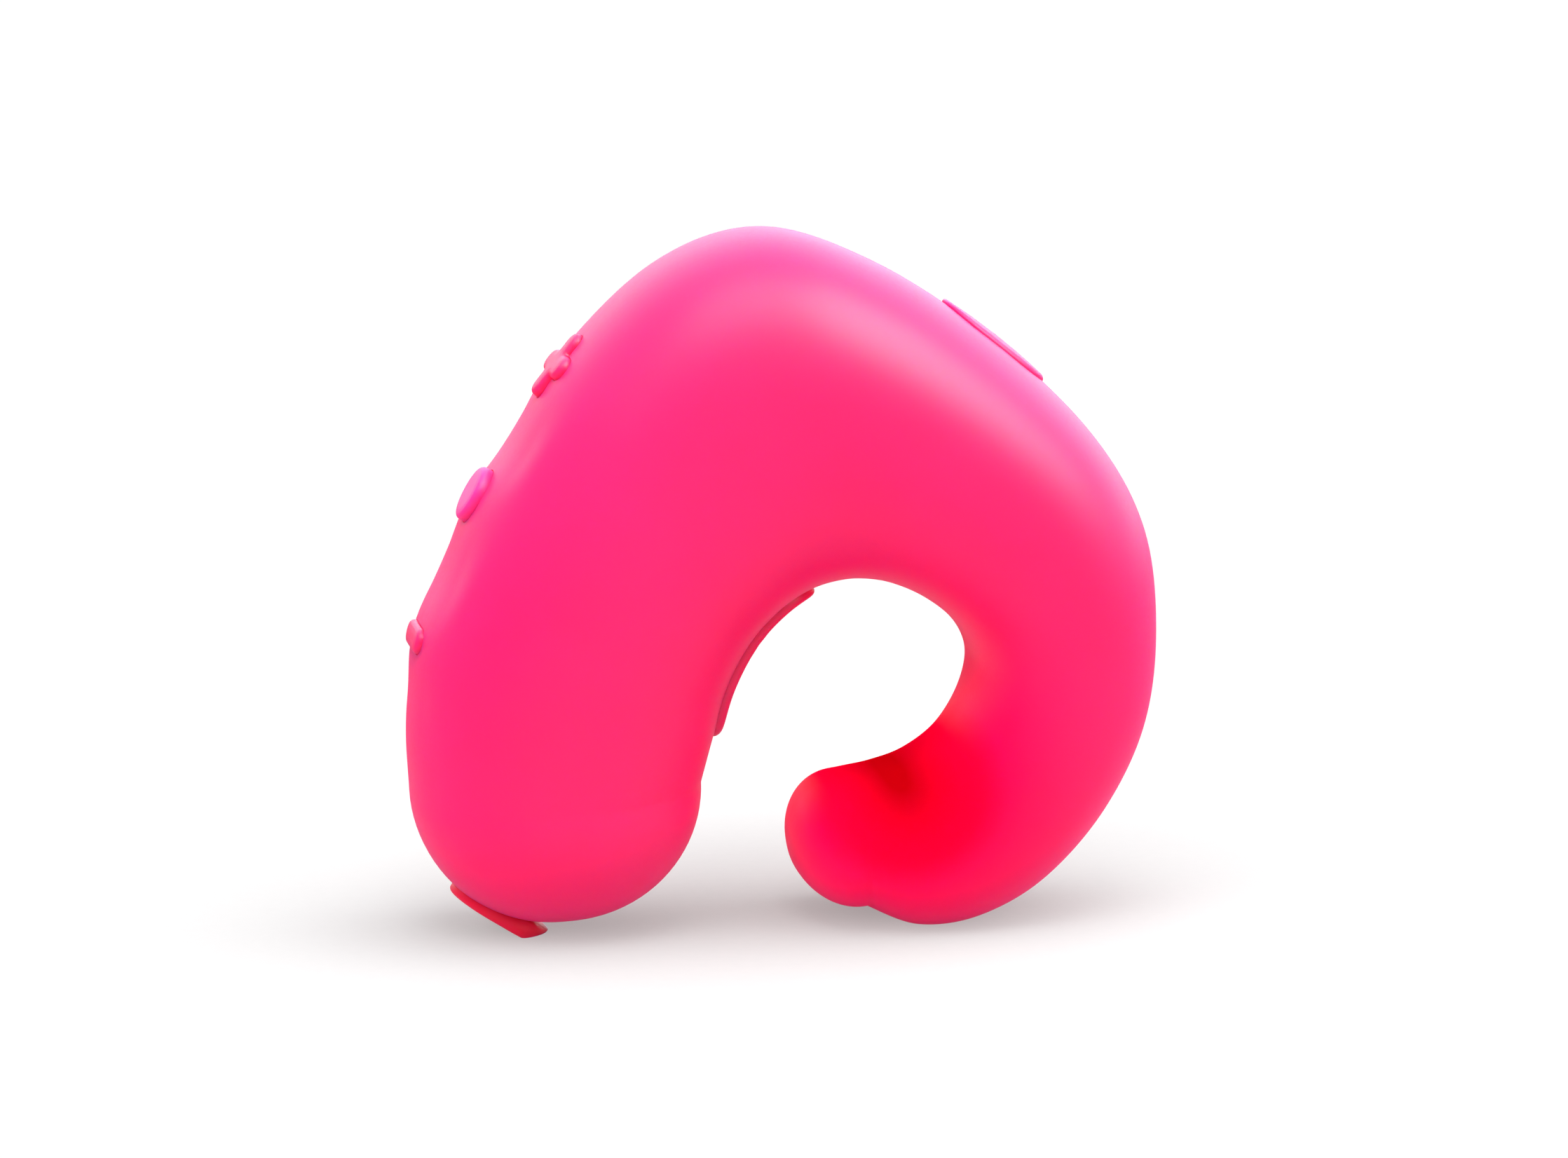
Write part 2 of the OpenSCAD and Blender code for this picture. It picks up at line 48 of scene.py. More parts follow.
# ---------------------------------------------------------------- the body's shape
# The same stations as the CAD body, in millimetres:
# outer x, outer z, inner x, inner z, half width.
STATIONS = [
    (-34.8, 13.2, -7.9, 14.4, 13.2),
    (-35.1, 21.5, -6.8, 18.6, 14.2),
    (-34.2, 28.4, -5.5, 23.2, 14.8),
    (-31.4, 35.8, -3.3, 27.4, 15.0),
    (-27.0, 44.0, -0.6, 30.3, 15.0),
    (-20.2, 54.0, 2.1, 32.0, 15.0),
    (-11.2, 62.4, 4.7, 32.7, 15.0),
    (-1.5, 65.4, 7.1, 32.8, 15.0),
    (8.9, 62.0, 9.8, 32.3, 15.0),
    (19.6, 54.9, 12.9, 30.9, 14.8),
    (28.7, 46.2, 15.8, 28.7, 14.5),
    (33.7, 37.5, 17.6, 26.2, 14.0),
    (35.0, 27.5, 18.2, 23.5, 13.5),
    (33.9, 18.3, 17.3, 20.3, 13.0),
    (30.0, 10.1, 15.2, 17.2, 12.5),
    (24.3, 3.7, 12.2, 15.2, 12.0),
    (18.1, 0.3, 9.2, 14.3, 11.5),
    (12.3, -0.3, 6.8, 13.9, 11.0),
    (7.4, 1.7, 5.2, 13.6, 10.5),
]
S_END = len(STATIONS) - 1
POD_CAP = 12.8
TAIL_CAP = 5.6
SECTION_POWER = 2.4
KEY_STATIONS = {"plus": 4.92, "power": 3.7, "minus": 1.98}
KEY_PROUD = {"plus": 0.6, "power": 0.8, "minus": 0.5}
SIGN_L = 7.0
SIGN_W = 2.4
POWER_D = 5.4


def knot(i):
    return STATIONS[min(max(i, 0), S_END)]


def station(s):
    i = math.floor(min(s, S_END - 0.0001))
    t = s - i
    return [
        0.5 * (2 * b + (c - a) * t + (2 * a - 5 * b + 4 * c - d) * t * t
               + (3 * b - a - 3 * c + d) * t ** 3)
        for a, b, c, d in zip(knot(i - 1), knot(i), knot(i + 1), knot(i + 2))
    ]


def section(s):
    """Middle, unit vector towards the outer side, half thickness and half width."""
    ox, oz, ix, iz, half_y = station(s)
    e = Vector(((ox - ix) / 2, 0, (oz - iz) / 2))
    return Vector(((ox + ix) / 2, 0, (oz + iz) / 2)), e.normalized(), e.length, half_y


def outer_point(s):
    ox, oz = station(s)[:2]
    return Vector((ox, 0, oz))


def outer_normal(s):
    d = outer_point(s + 0.1) - outer_point(s - 0.1)
    return Vector((-d.z, 0, d.x)).normalized()


def on_skin(s):
    """Matrix with local z along the outer normal at station s, and local y along Y."""
    n = outer_normal(s)
    return Matrix.Translation(outer_point(s)) @ Matrix.Rotation(math.atan2(n.x, n.z), 4, "Y")


def smooth(x, lo, hi):
    t = min(max((x - lo) / (hi - lo), 0), 1)
    return t * t * (3 - 2 * t)


def bell(x, middle, reach):
    """1 at the middle, falling smoothly to 0 at the reach."""
    return 1 - smooth(abs(x - middle), 0, reach)


# ---------------------------------------------------------------- mesh helpers
def new_object(name, verts, faces):
    mesh = bpy.data.meshes.new(name)
    mesh.from_pydata([Vector(v) * MM for v in verts], [], faces)
    mesh.polygons.foreach_set("use_smooth", [True] * len(mesh.polygons))
    mesh.update()
    obj = bpy.data.objects.new(name, mesh)
    bpy.context.collection.objects.link(obj)
    return obj


def bulge(x):
    return math.copysign(abs(x) ** (2 / SECTION_POWER), x)


# Dips between the keys on the outer face: middle station, reach in stations, depth.
DIPS = [(4.28, 0.62, 0.55), (2.85, 0.85, 0.5), (1.2, 0.7, 0.25)]
DIP_HALF = 9.0


def skin_offset(s, y, outer_share):
    """How far the skin stands off the plain loft, in millimetres."""
    if outer_share <= 0:
        return 0.0
    across = 1 - smooth(abs(y), DIP_HALF * 0.55, DIP_HALF)
    depth = sum(d * bell(s, m, r) for m, r, d in DIPS)
    return -depth * across * smooth(outer_share, 0.5, 0.8)


def skin_rows(sides, step):
    """Rings of points from the motor end's tip to the free end's tip."""
    def ring(q, along, f):
        middle, e, half_t, half_y = q
        out = []
        for j in range(sides):
            a = 2 * math.pi * (j + 0.5) / sides
            c = bulge(math.cos(a))
            y = half_y * f * bulge(math.sin(a))
            extra = skin_offset(along, y, c * f)
            out.append(middle + e * (half_t * f * c + extra) + Vector((0, y, 0)))
        return out

    rows = []
    steps = 24
    first, last = section(0), section(S_END)
    for q, reach, order in ((first, -POD_CAP, 1), (last, TAIL_CAP, -1)):
        tangent = Vector((q[1].z, 0, -q[1].x))
        cap = []
        for i in range(1, steps + 1):
            f = math.sin(math.pi / 2 * i / (steps + 1))
            moved = (q[0] + tangent * reach * math.sqrt(1 - f * f), *q[1:])
            cap.append(ring(moved, 0 if order > 0 else S_END, f))
        tip = q[0] + tangent * reach
        if order > 0:
            rows_a, tip_a = cap, tip
        else:
            rows_b, tip_b = cap[::-1], tip
    count = round(S_END / step)
    rows = [ring(section(S_END * i / count), S_END * i / count, 1) for i in range(count + 1)]
    return rows_a + rows + rows_b, tip_a, tip_b


SKIN_SIDES = 160
SKIN_STEP = 0.085  # stations from one ring to the next


def build_skin():
    sides = SKIN_SIDES
    rows, tip_a, tip_b = skin_rows(sides, SKIN_STEP)
    verts = [p for row in rows for p in row] + [tip_a, tip_b]
    n = len(rows)
    faces = [
        (i * sides + j, i * sides + (j + 1) % sides,
         (i + 1) * sides + (j + 1) % sides, (i + 1) * sides + j)
        for i in range(n - 1) for j in range(sides)
    ]
    faces += [(n * sides, (j + 1) % sides, j) for j in range(sides)]
    last = (n - 1) * sides
    faces += [(n * sides + 1, last + j, last + (j + 1) % sides) for j in range(sides)]
    verts = [Vector((v[0], v[1], max(v[2], 0.0))) for v in verts]
    obj = new_object("silicone_body", verts, faces)
    fix_normals(obj)
    return obj


def fix_normals(obj):
    bm = bmesh.new()
    bm.from_mesh(obj.data)
    bmesh.ops.recalc_face_normals(bm, faces=bm.faces)
    bm.to_mesh(obj.data)
    bm.free()


# ---------------------------------------------------------------- outlines of the raised signs
def bar_outline(length, width, turn=0.0, arc=14):
    """Rounded bar, counter-clockwise."""
    out = []
    reach = (length - width) / 2
    for end in (0, 1):
        for i in range(arc + 1):
            a = math.pi * (end + i / arc) - math.pi / 2
            x = (reach if end == 0 else -reach) + width / 2 * math.cos(a)
            out.append((x, width / 2 * math.sin(a)))
    c, s = math.cos(turn), math.sin(turn)
    return [(c * x - s * y, s * x + c * y) for x, y in out]


def plus_outline(length, width, arc=12, fillet=0.35):
    """A plus with round ends and small fillets in its corners, counter-clockwise."""
    out = []
    reach = (length - width) / 2
    half = width / 2
    for k in range(4):
        c, s = math.cos(k * math.pi / 2), math.sin(k * math.pi / 2)
        arm = [(reach + half * math.cos(a), half * math.sin(a))
               for a in [math.pi * (i / arc - 0.5) for i in range(arc + 1)]]
        corner = half + fillet
        arm += [(corner - fillet * math.sin(t), corner - fillet * math.cos(t))
                for t in [math.pi / 2 * i / 5 for i in range(6)]]
        out += [(c * x - s * y, s * x + c * y) for x, y in arm]
    return out


def circle_outline(diameter, count=72):
    return [(diameter / 2 * math.cos(2 * math.pi * i / count),
             diameter / 2 * math.sin(2 * math.pi * i / count)) for i in range(count)]


def sign_outline(key, grow=0.0):
    if key == "plus":
        return plus_outline(SIGN_L + 2 * grow, SIGN_W + 2 * grow)
    if key == "power":
        return circle_outline(POWER_D + 2 * grow)
    return bar_outline(SIGN_L + 2 * grow, SIGN_W + 2 * grow, math.pi / 2)


def inset_outline(outline, amount):
    """The outline moved inwards along its corners' bisectors."""
    n = len(outline)
    out = []
    for i in range(n):
        p = Vector(outline[i])
        a = (p - Vector(outline[i - 1]))
        b = (Vector(outline[(i + 1) % n]) - p)
        a = a.normalized() if a.length > 1e-6 else b.normalized()
        b = b.normalized() if b.length > 1e-6 else a
        m = Vector((-(a.y + b.y), a.x + b.x))
        m = m.normalized() if m.length > 1e-6 else Vector((-a.y, a.x))
        out.append(tuple(p + m * amount))
    return out


def stack(name, outline, levels, place, top_rise=0.0):
    """A closed piece from copies of an outline: levels are (inset, height) pairs from the
    bottom up, and its top is closed with a point in the middle that stands top_rise higher."""
    rows = []
    for inset, height in levels:
        rows.append([place @ Vector((x, y, height)) for x, y in inset_outline(outline, inset)])
    n = len(outline)
    verts = [p for row in rows for p in row]
    low, top = levels[0][1], levels[-1][1]
    verts += [place @ Vector((0, 0, low)), place @ Vector((0, 0, top + top_rise))]
    faces = []
    for i in range(len(rows) - 1):
        for j in range(n):
            k = (j + 1) % n
            faces.append((i * n + j, i * n + k, (i + 1) * n + k, (i + 1) * n + j))
    base = len(rows) * n
    last = (len(rows) - 1) * n
    for j in range(n):
        k = (j + 1) % n
        faces.append((base, k, j))
        faces.append((base + 1, last + j, last + k))
    obj = new_object(name, verts, faces)
    fix_normals(obj)
    return obj


def rounded_levels(bottom, top, radius, steps=8, crown=0.0, reach=0.8):
    """Levels of a piece with a straight wall, a rounded shoulder and a lightly crowned top."""
    levels = [(0.0, bottom), (0.0, top - radius)]
    for i in range(1, steps + 1):
        a = math.pi / 2 * i / steps
        levels.append((radius * (1 - math.cos(a)), top - radius + radius * math.sin(a)))
    if crown:
        for i in range(1, 5):
            t = i / 4
            levels.append((radius + (reach - radius) * t, top + crown * (1 - (1 - t) ** 2)))
    return levels


# ---------------------------------------------------------------- cutting with clean shading
def cut(obj, cutters):
    """Cuts closed cutters out of obj, keeping the smooth shading it had before."""
    source = obj.data.copy()
    for c in cutters:
        mod = obj.modifiers.new("cut", "BOOLEAN")
        mod.operation = "DIFFERENCE"
        mod.solver = "EXACT"
        mod.object = c
    deps = bpy.context.evaluated_depsgraph_get()
    result = bpy.data.meshes.new_from_object(obj.evaluated_get(deps))
    obj.modifiers.clear()
    obj.data = result
    for c in cutters:
        bpy.data.objects.remove(c)
    source.calc_loop_triangles()
    tris = [tuple(t.vertices) for t in source.loop_triangles]
    points = [v.co.copy() for v in source.vertices]
    vertex_normals = [v.normal.copy() for v in source.vertices]
    tree = BVHTree.FromPolygons(points, tris)
    near = 0.00001
    normals = []
    for poly in result.polygons:
        hits = [tree.find_nearest(result.vertices[v].co) for v in poly.vertices]
        kept = (all(h[3] < near for h in hits)
                and abs(poly.normal.dot(hits[0][1])) > 0.8)
        for v, (spot, _, index, _) in zip(poly.vertices, hits):
            if not kept:
                normals.append(poly.normal.copy())
                continue
            a, b, c = (points[i] for i in tris[index])
            na, nb, nc = (vertex_normals[i] for i in tris[index])
            u, w = b - a, c - a
            d = spot - a
            uu, uw, ww, du, dw = u.dot(u), u.dot(w), w.dot(w), d.dot(u), d.dot(w)
            den = uu * ww - uw * uw
            if abs(den) < 1e-24:
                normals.append(na)
                continue
            beta = (ww * du - uw * dw) / den
            gamma = (uu * dw - uw * du) / den
            normals.append((na * (1 - beta - gamma) + nb * beta + nc * gamma).normalized())
    result.polygons.foreach_set("use_smooth", [True] * len(result.polygons))
    result.normals_split_custom_set(normals)
    bpy.data.meshes.remove(source)


# ---------------------------------------------------------------- materials
def node_material(name):
    mat = bpy.data.materials.new(name)
    mat.use_nodes = True
    tree = mat.node_tree
    bsdf = tree.nodes["Principled BSDF"]
    coords = tree.nodes.new("ShaderNodeTexCoord")
    return mat, tree, bsdf, coords.outputs["Object"]


def add_noise(tree, vector, scale, detail=4.0, rough=0.5):
    n = tree.nodes.new("ShaderNodeTexNoise")
    n.inputs["Scale"].default_value = scale
    n.inputs["Detail"].default_value = detail
    n.inputs["Roughness"].default_value = rough
    tree.links.new(vector, n.inputs["Vector"])
    return n.outputs["Fac"]


def add_ramp(tree, value, stops):
    r = tree.nodes.new("ShaderNodeValToRGB")
    ramp = r.color_ramp
    ramp.elements[0].position, ramp.elements[0].color = stops[0][0], (*stops[0][1], 1)
    ramp.elements[1].position, ramp.elements[1].color = stops[-1][0], (*stops[-1][1], 1)
    for at, colour in stops[1:-1]:
        ramp.elements.new(at).color = (*colour, 1)
    tree.links.new(value, r.inputs["Fac"])
    return r.outputs["Color"]


def add_range(tree, value, low, high):
    m = tree.nodes.new("ShaderNodeMapRange")
    m.inputs["To Min"].default_value = low
    m.inputs["To Max"].default_value = high
    tree.links.new(value, m.inputs["Value"])
    return m.outputs["Result"]


def add_math(tree, op, a, b=None):
    m = tree.nodes.new("ShaderNodeMath")
    m.operation = op
    for i, value in enumerate((a, b)):
        if value is None:
            continue
        if isinstance(value, (int, float)):
            m.inputs[i].default_value = value
        else:
            tree.links.new(value, m.inputs[i])
    return m.outputs[0]


def add_bump(tree, bsdf, height, distance, strength=1.0):
    b = tree.nodes.new("ShaderNodeBump")
    b.inputs["Strength"].default_value = strength
    b.inputs["Distance"].default_value = distance
    tree.links.new(height, b.inputs["Height"])
    tree.links.new(b.outputs["Normal"], bsdf.inputs["Normal"])


def add_mix(tree, factor, a, b, kind="FLOAT"):
    """Mixes two numbers, or two colours when kind is "RGBA", by a factor between 0 and 1."""
    m = tree.nodes.new("ShaderNodeMix")
    m.data_type = kind
    tree.links.new(factor, m.inputs[0])
    first_input, output = (2, 0) if kind == "FLOAT" else (6, 2)
    for socket, value in ((m.inputs[first_input], a), (m.inputs[first_input + 1], b)):
        if isinstance(value, (int, float)):
            socket.default_value = value
        else:
            tree.links.new(value, socket)
    return m.outputs[output]


# Painted shade on the body round the free end of the loop: its colour is darkest and reddest there,
# and its specular and sheen fade out. The middle of the painted shade, in metres, and how far from
# it the plain colour starts to show and has taken over.
PAINTED_SHADE_AT = (0.010, 0, 0.0145)
PAINTED_SHADE_FROM = 0.006
PAINTED_SHADE_TO = 0.021
SPECULAR = 0.4
SHEEN = 0.05
SILICONE_GRAIN = 0.000006


def silicone(name, low, high, rough=0.46, painted_shade=False):
    """Matte moulded silicone: colour drifts a little, light enters and comes out redder."""
    mat, tree, bsdf, xyz = node_material(name)
    drift = add_noise(tree, xyz, 45, 3)
    colour = add_ramp(tree, drift, [(0.3, low), (0.7, high)])
    bsdf.inputs["Specular IOR Level"].default_value = SPECULAR
    bsdf.inputs["Sheen Weight"].default_value = SHEEN
    # Painted shade: towards the free end of the loop the colour turns darker and redder, and
    # specular and sheen fade out.
    if painted_shade:
        flat = tree.nodes.new("ShaderNodeVectorMath")
        flat.operation = "MULTIPLY"
        flat.inputs[1].default_value = (1, 0, 1)
        tree.links.new(xyz, flat.inputs[0])
        gap = tree.nodes.new("ShaderNodeVectorMath")
        gap.operation = "DISTANCE"
        gap.inputs[1].default_value = PAINTED_SHADE_AT
        tree.links.new(flat.outputs["Vector"], gap.inputs[0])
        reach = tree.nodes.new("ShaderNodeMapRange")
        reach.interpolation_type = "SMOOTHSTEP"
        reach.inputs["From Min"].default_value = PAINTED_SHADE_FROM
        reach.inputs["From Max"].default_value = PAINTED_SHADE_TO
        tree.links.new(gap.outputs["Value"], reach.inputs["Value"])
        centimetres = add_math(tree, "MULTIPLY", gap.outputs["Value"], 100)
        painted_shade_colour = add_ramp(tree, centimetres,
                         [(0.1, (0.36, 0.0, 0.003)), (0.72, (0.96, 0.0005, 0.035)),
                          (0.95, (1.0, 0.001, 0.07))])
        outside_painted_shade = reach.outputs["Result"]
        colour = add_mix(tree, outside_painted_shade, painted_shade_colour, colour, "RGBA")
        tree.links.new(add_mix(tree, outside_painted_shade, 0.0, SPECULAR), bsdf.inputs["Specular IOR Level"])
        tree.links.new(add_mix(tree, outside_painted_shade, 0.0, SHEEN), bsdf.inputs["Sheen Weight"])
    tree.links.new(colour, bsdf.inputs["Base Color"])
    bsdf.subsurface_method = "RANDOM_WALK"
    bsdf.inputs["Subsurface Weight"].default_value = 1.0
    bsdf.inputs["Subsurface Radius"].default_value = (1.0, 0.16, 0.34)
    bsdf.inputs["Subsurface Scale"].default_value = 0.0042
    fine = add_noise(tree, xyz, 2600, 3, 0.6)
    tree.links.new(add_range(tree, fine, rough - 0.05, rough + 0.05), bsdf.inputs["Roughness"])
    bsdf.inputs["IOR"].default_value = 1.41
    bsdf.inputs["Sheen Roughness"].default_value = 0.5
    bsdf.inputs["Sheen Tint"].default_value = (1.0, 0.62, 0.75, 1)
    add_bump(tree, bsdf, fine, SILICONE_GRAIN)
    return mat


def plain(name, low, high, rough, metal=0.0, scale=900.0, grain=0.000004, stretch=None):
    """Moulded plastic, rubber or metal with fine grain and a little colour drift."""
    mat, tree, bsdf, xyz = node_material(name)
    if stretch:
        m = tree.nodes.new("ShaderNodeMapping")
        m.inputs["Scale"].default_value = stretch
        tree.links.new(xyz, m.inputs["Vector"])
        xyz = m.outputs["Vector"]
    grain_fac = add_noise(tree, xyz, scale, 5, 0.6)
    tree.links.new(add_ramp(tree, grain_fac, [(0.3, low), (0.7, high)]), bsdf.inputs["Base Color"])
    tree.links.new(add_range(tree, grain_fac, rough - 0.06, rough + 0.08), bsdf.inputs["Roughness"])
    bsdf.inputs["Metallic"].default_value = metal
    add_bump(tree, bsdf, grain_fac, grain)
    return mat


def board_material(name):
    """Green circuit board with faint copper tracks under the mask."""
    mat, tree, bsdf, xyz = node_material(name)
    wave = tree.nodes.new("ShaderNodeTexVoronoi")
    wave.distance = "CHEBYCHEV"
    wave.inputs["Scale"].default_value = 420
    tree.links.new(xyz, wave.inputs["Vector"])
    colour = add_ramp(tree, wave.outputs["Distance"],
                      [(0.2, (0.005, 0.07, 0.025)), (0.42, (0.01, 0.13, 0.045)),
                       (0.5, (0.03, 0.2, 0.07))])
    tree.links.new(colour, bsdf.inputs["Base Color"])
    bsdf.inputs["Roughness"].default_value = 0.32
    add_bump(tree, bsdf, wave.outputs["Distance"], 0.00002, 0.4)
    return mat


PINK_LOW = (1.0, 0.004, 0.125)
PINK_HIGH = (1.0, 0.007, 0.145)
# The body's material carries painted shade round the free end of the loop.
body_mat = silicone("silicone_body_pink", PINK_LOW, PINK_HIGH, painted_shade=True)
pad_mat = silicone("silicone_pad_pink", (1.0, 0.012, 0.1), (1.0, 0.02, 0.13), 0.4)
key_mat = silicone("silicone_key_pink", (1.0, 0.008, 0.1), (1.0, 0.012, 0.13), 0.42)
power_mat = silicone("silicone_power_pink", (1.0, 0.02, 0.2), (1.0, 0.03, 0.26), 0.42)
# The port's pink is darker and redder than the body's: painted shade, as the port faces the floor.
port_painted_shade_mat = silicone("silicone_port_pink_painted_shade", (0.85, 0.004, 0.04), (0.92, 0.008, 0.06), 0.44)

# ---------------------------------------------------------------- the visible pieces
def set_material(obj, mat):
    obj.data.materials.clear()
    obj.data.materials.append(mat)


# The port's place, the way it faces and its size, as in the CAD.
PORT_AT = (-26.6, 0, 2.3)
PORT_OUT = Vector((-0.54, 0, -0.842))
PORT_L = 10.0
PORT_W = 7.6
PIN_X = 1.5
PIN_D = 1.4
GROOVE = 0.07  # gap round each key


def port_frame():
    """Matrix with local z pointing out of the port."""
    turn = math.pi + math.atan2(-PORT_OUT.x, -PORT_OUT.z)
    return Matrix.Translation(PORT_AT) @ Matrix.Rotation(turn, 4, "Y")



skin = build_skin()
cutters = []
for key, s in KEY_STATIONS.items():
    cutters.append(stack("cut_" + key, sign_outline(key, GROOVE), [(0, -1.95), (0, 3.0)],
                         on_skin(s)))
cutters.append(stack("cut_port", bar_outline(PORT_L + 0.3, PORT_W + 0.3),
                     [(0, -0.55), (0, 4.0)], port_frame()))
cut(skin, cutters)
set_material(skin, body_mat)
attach(skin, "pod")
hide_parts("silicone_skin")

for key, s in KEY_STATIONS.items():
    levels = rounded_levels(-1.2, KEY_PROUD[key] - 0.05, 0.5, 8, 0.05, 0.9)
    piece = stack("key_dome_" + key, sign_outline(key, -0.02), levels, on_skin(s))
    set_material(piece, power_mat if key == "power" else key_mat)
    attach(piece, "key_" + key)
    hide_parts("button_" + key)

# Finger pad: a smooth low cushion along the inner wall.
PAD_FROM = 0.9
PAD_TO = 5.2
PAD_HALF = 6.2
PAD_PROUD = 0.8
PAD_UNDER = 0.6


def pad_point(f, g, lift):
    """f runs along the pad and g across it, both from -1 to 1."""
    s = PAD_FROM + (PAD_TO - PAD_FROM) * (f + 1) / 2
    middle, e, half_t, half_y = section(s)
    half_t, half_y = half_t + lift, half_y + lift
    y = g * PAD_HALF
    k = (1 - (abs(y) / half_y) ** SECTION_POWER) ** (1 / SECTION_POWER)
    return middle - e * half_t * k + Vector((0, y, 0))


def build_pad():
    """Concentric rounded loops: wall, shoulder, then a lightly crowned face."""
    loops = 96
    shape = 3.2
    profile = [(1.0, -PAD_UNDER), (1.0, 0.1)]
    profile += [(1 - 0.07 * (1 - math.cos(a)), 0.1 + (PAD_PROUD - 0.16) * math.sin(a))
                for a in [math.pi / 2 * i / 7 for i in range(1, 8)]]
    profile += [(0.93 * (1 - t), PAD_PROUD - 0.06 + 0.06 * (1 - (1 - t) ** 2))
                for t in [i / 12 for i in range(1, 12)]]
    verts, faces = [], []
    for size, lift in profile:
        for j in range(loops):
            a = 2 * math.pi * j / loops
            f = math.copysign(abs(math.cos(a)) ** (2 / shape), math.cos(a)) * size
            g = math.copysign(abs(math.sin(a)) ** (2 / shape), math.sin(a)) * size
            verts.append(pad_point(f, g, lift))
    rows = len(profile)
    for i in range(rows - 1):
        for j in range(loops):
            k = (j + 1) % loops
            faces.append((i * loops + j, i * loops + k, (i + 1) * loops + k, (i + 1) * loops + j))
    verts += [pad_point(0, 0, -PAD_UNDER), pad_point(0, 0, PAD_PROUD)]
    base, last = rows * loops, (rows - 1) * loops
    for j in range(loops):
        k = (j + 1) % loops
        faces += [(base, k, j), (base + 1, last + j, last + k)]
    obj = new_object("finger_pad_soft", verts, faces)
    fix_normals(obj)
    return obj


pad = build_pad()
set_material(pad, pad_mat)
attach(pad, "pod")
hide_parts("finger_pad")

# Plain raised oval on the crown: the outline is laid on the curved surface.
OVAL_S = 9.05
OVAL_PER_MM = 1 / 13.4  # stations along one millimetre of the surface there
OVAL_L = 12.4
OVAL_W = 8.2
OVAL_UNDER = 0.8  # how far it reaches into the skin


def oval_point(x, y, lift):
    middle, e, half_t, half_y = section(OVAL_S + x * OVAL_PER_MM)
    k = (1 - (abs(y) / half_y) ** SECTION_POWER) ** (1 / SECTION_POWER)
    return middle + e * (half_t * k + lift) + Vector((0, y, 0))


def build_oval():
    outline = bar_outline(OVAL_L, OVAL_W, 0, 24)
    levels = [(0.0, -OVAL_UNDER), (0.0, 0.05)]
    levels += [(0.5 * (1 - math.cos(a)), 0.05 + 0.4 * math.sin(a))
               for a in [math.pi / 2 * i / 7 for i in range(1, 8)]]
    levels += [(0.5 + 0.55 * i, 0.45 + 0.012 * i) for i in range(1, 6)]
    verts, faces = [], []
    n = len(outline)
    for inset, lift in levels:
        verts += [oval_point(x, y, lift) for x, y in inset_outline(outline, inset)]
    verts += [oval_point(0, 0, -OVAL_UNDER), oval_point(0, 0, 0.53)]
    rows = len(levels)
    for i in range(rows - 1):
        for j in range(n):
            k = (j + 1) % n
            faces.append((i * n + j, i * n + k, (i + 1) * n + k, (i + 1) * n + j))
    base, last = rows * n, (rows - 1) * n
    for j in range(n):
        k = (j + 1) % n
        faces += [(base, k, j), (base + 1, last + j, last + k)]
    obj = new_object("crown_oval", verts, faces)
    fix_normals(obj)
    return obj


oval = build_oval()
set_material(oval, body_mat)
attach(oval, "pod")

# Charging port: rounded plateau with a soft edge, flat where it meets the ground.
port = stack("port_plateau", bar_outline(PORT_L - 0.04, PORT_W - 0.04, 0, 20),
             rounded_levels(-0.5, 1.1, 0.4, 7, 0.0), port_frame())
pins = [stack(f"cut_pin_{i}", circle_outline(PIN_D, 40), [(0, -3), (0, 3)],
              port_frame() @ Matrix.Translation((x, 0, 0)))
        for i, x in enumerate((-PIN_X, PIN_X))]
ground = stack("cut_ground", [(-40, -20), (40, -20), (40, 20), (-40, 20)],
               [(0, -9), (0, 0)], Matrix.Identity(4))
cut(port, pins + [ground])
set_material(port, port_painted_shade_mat)
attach(port, "pod")
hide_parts("port_housing")

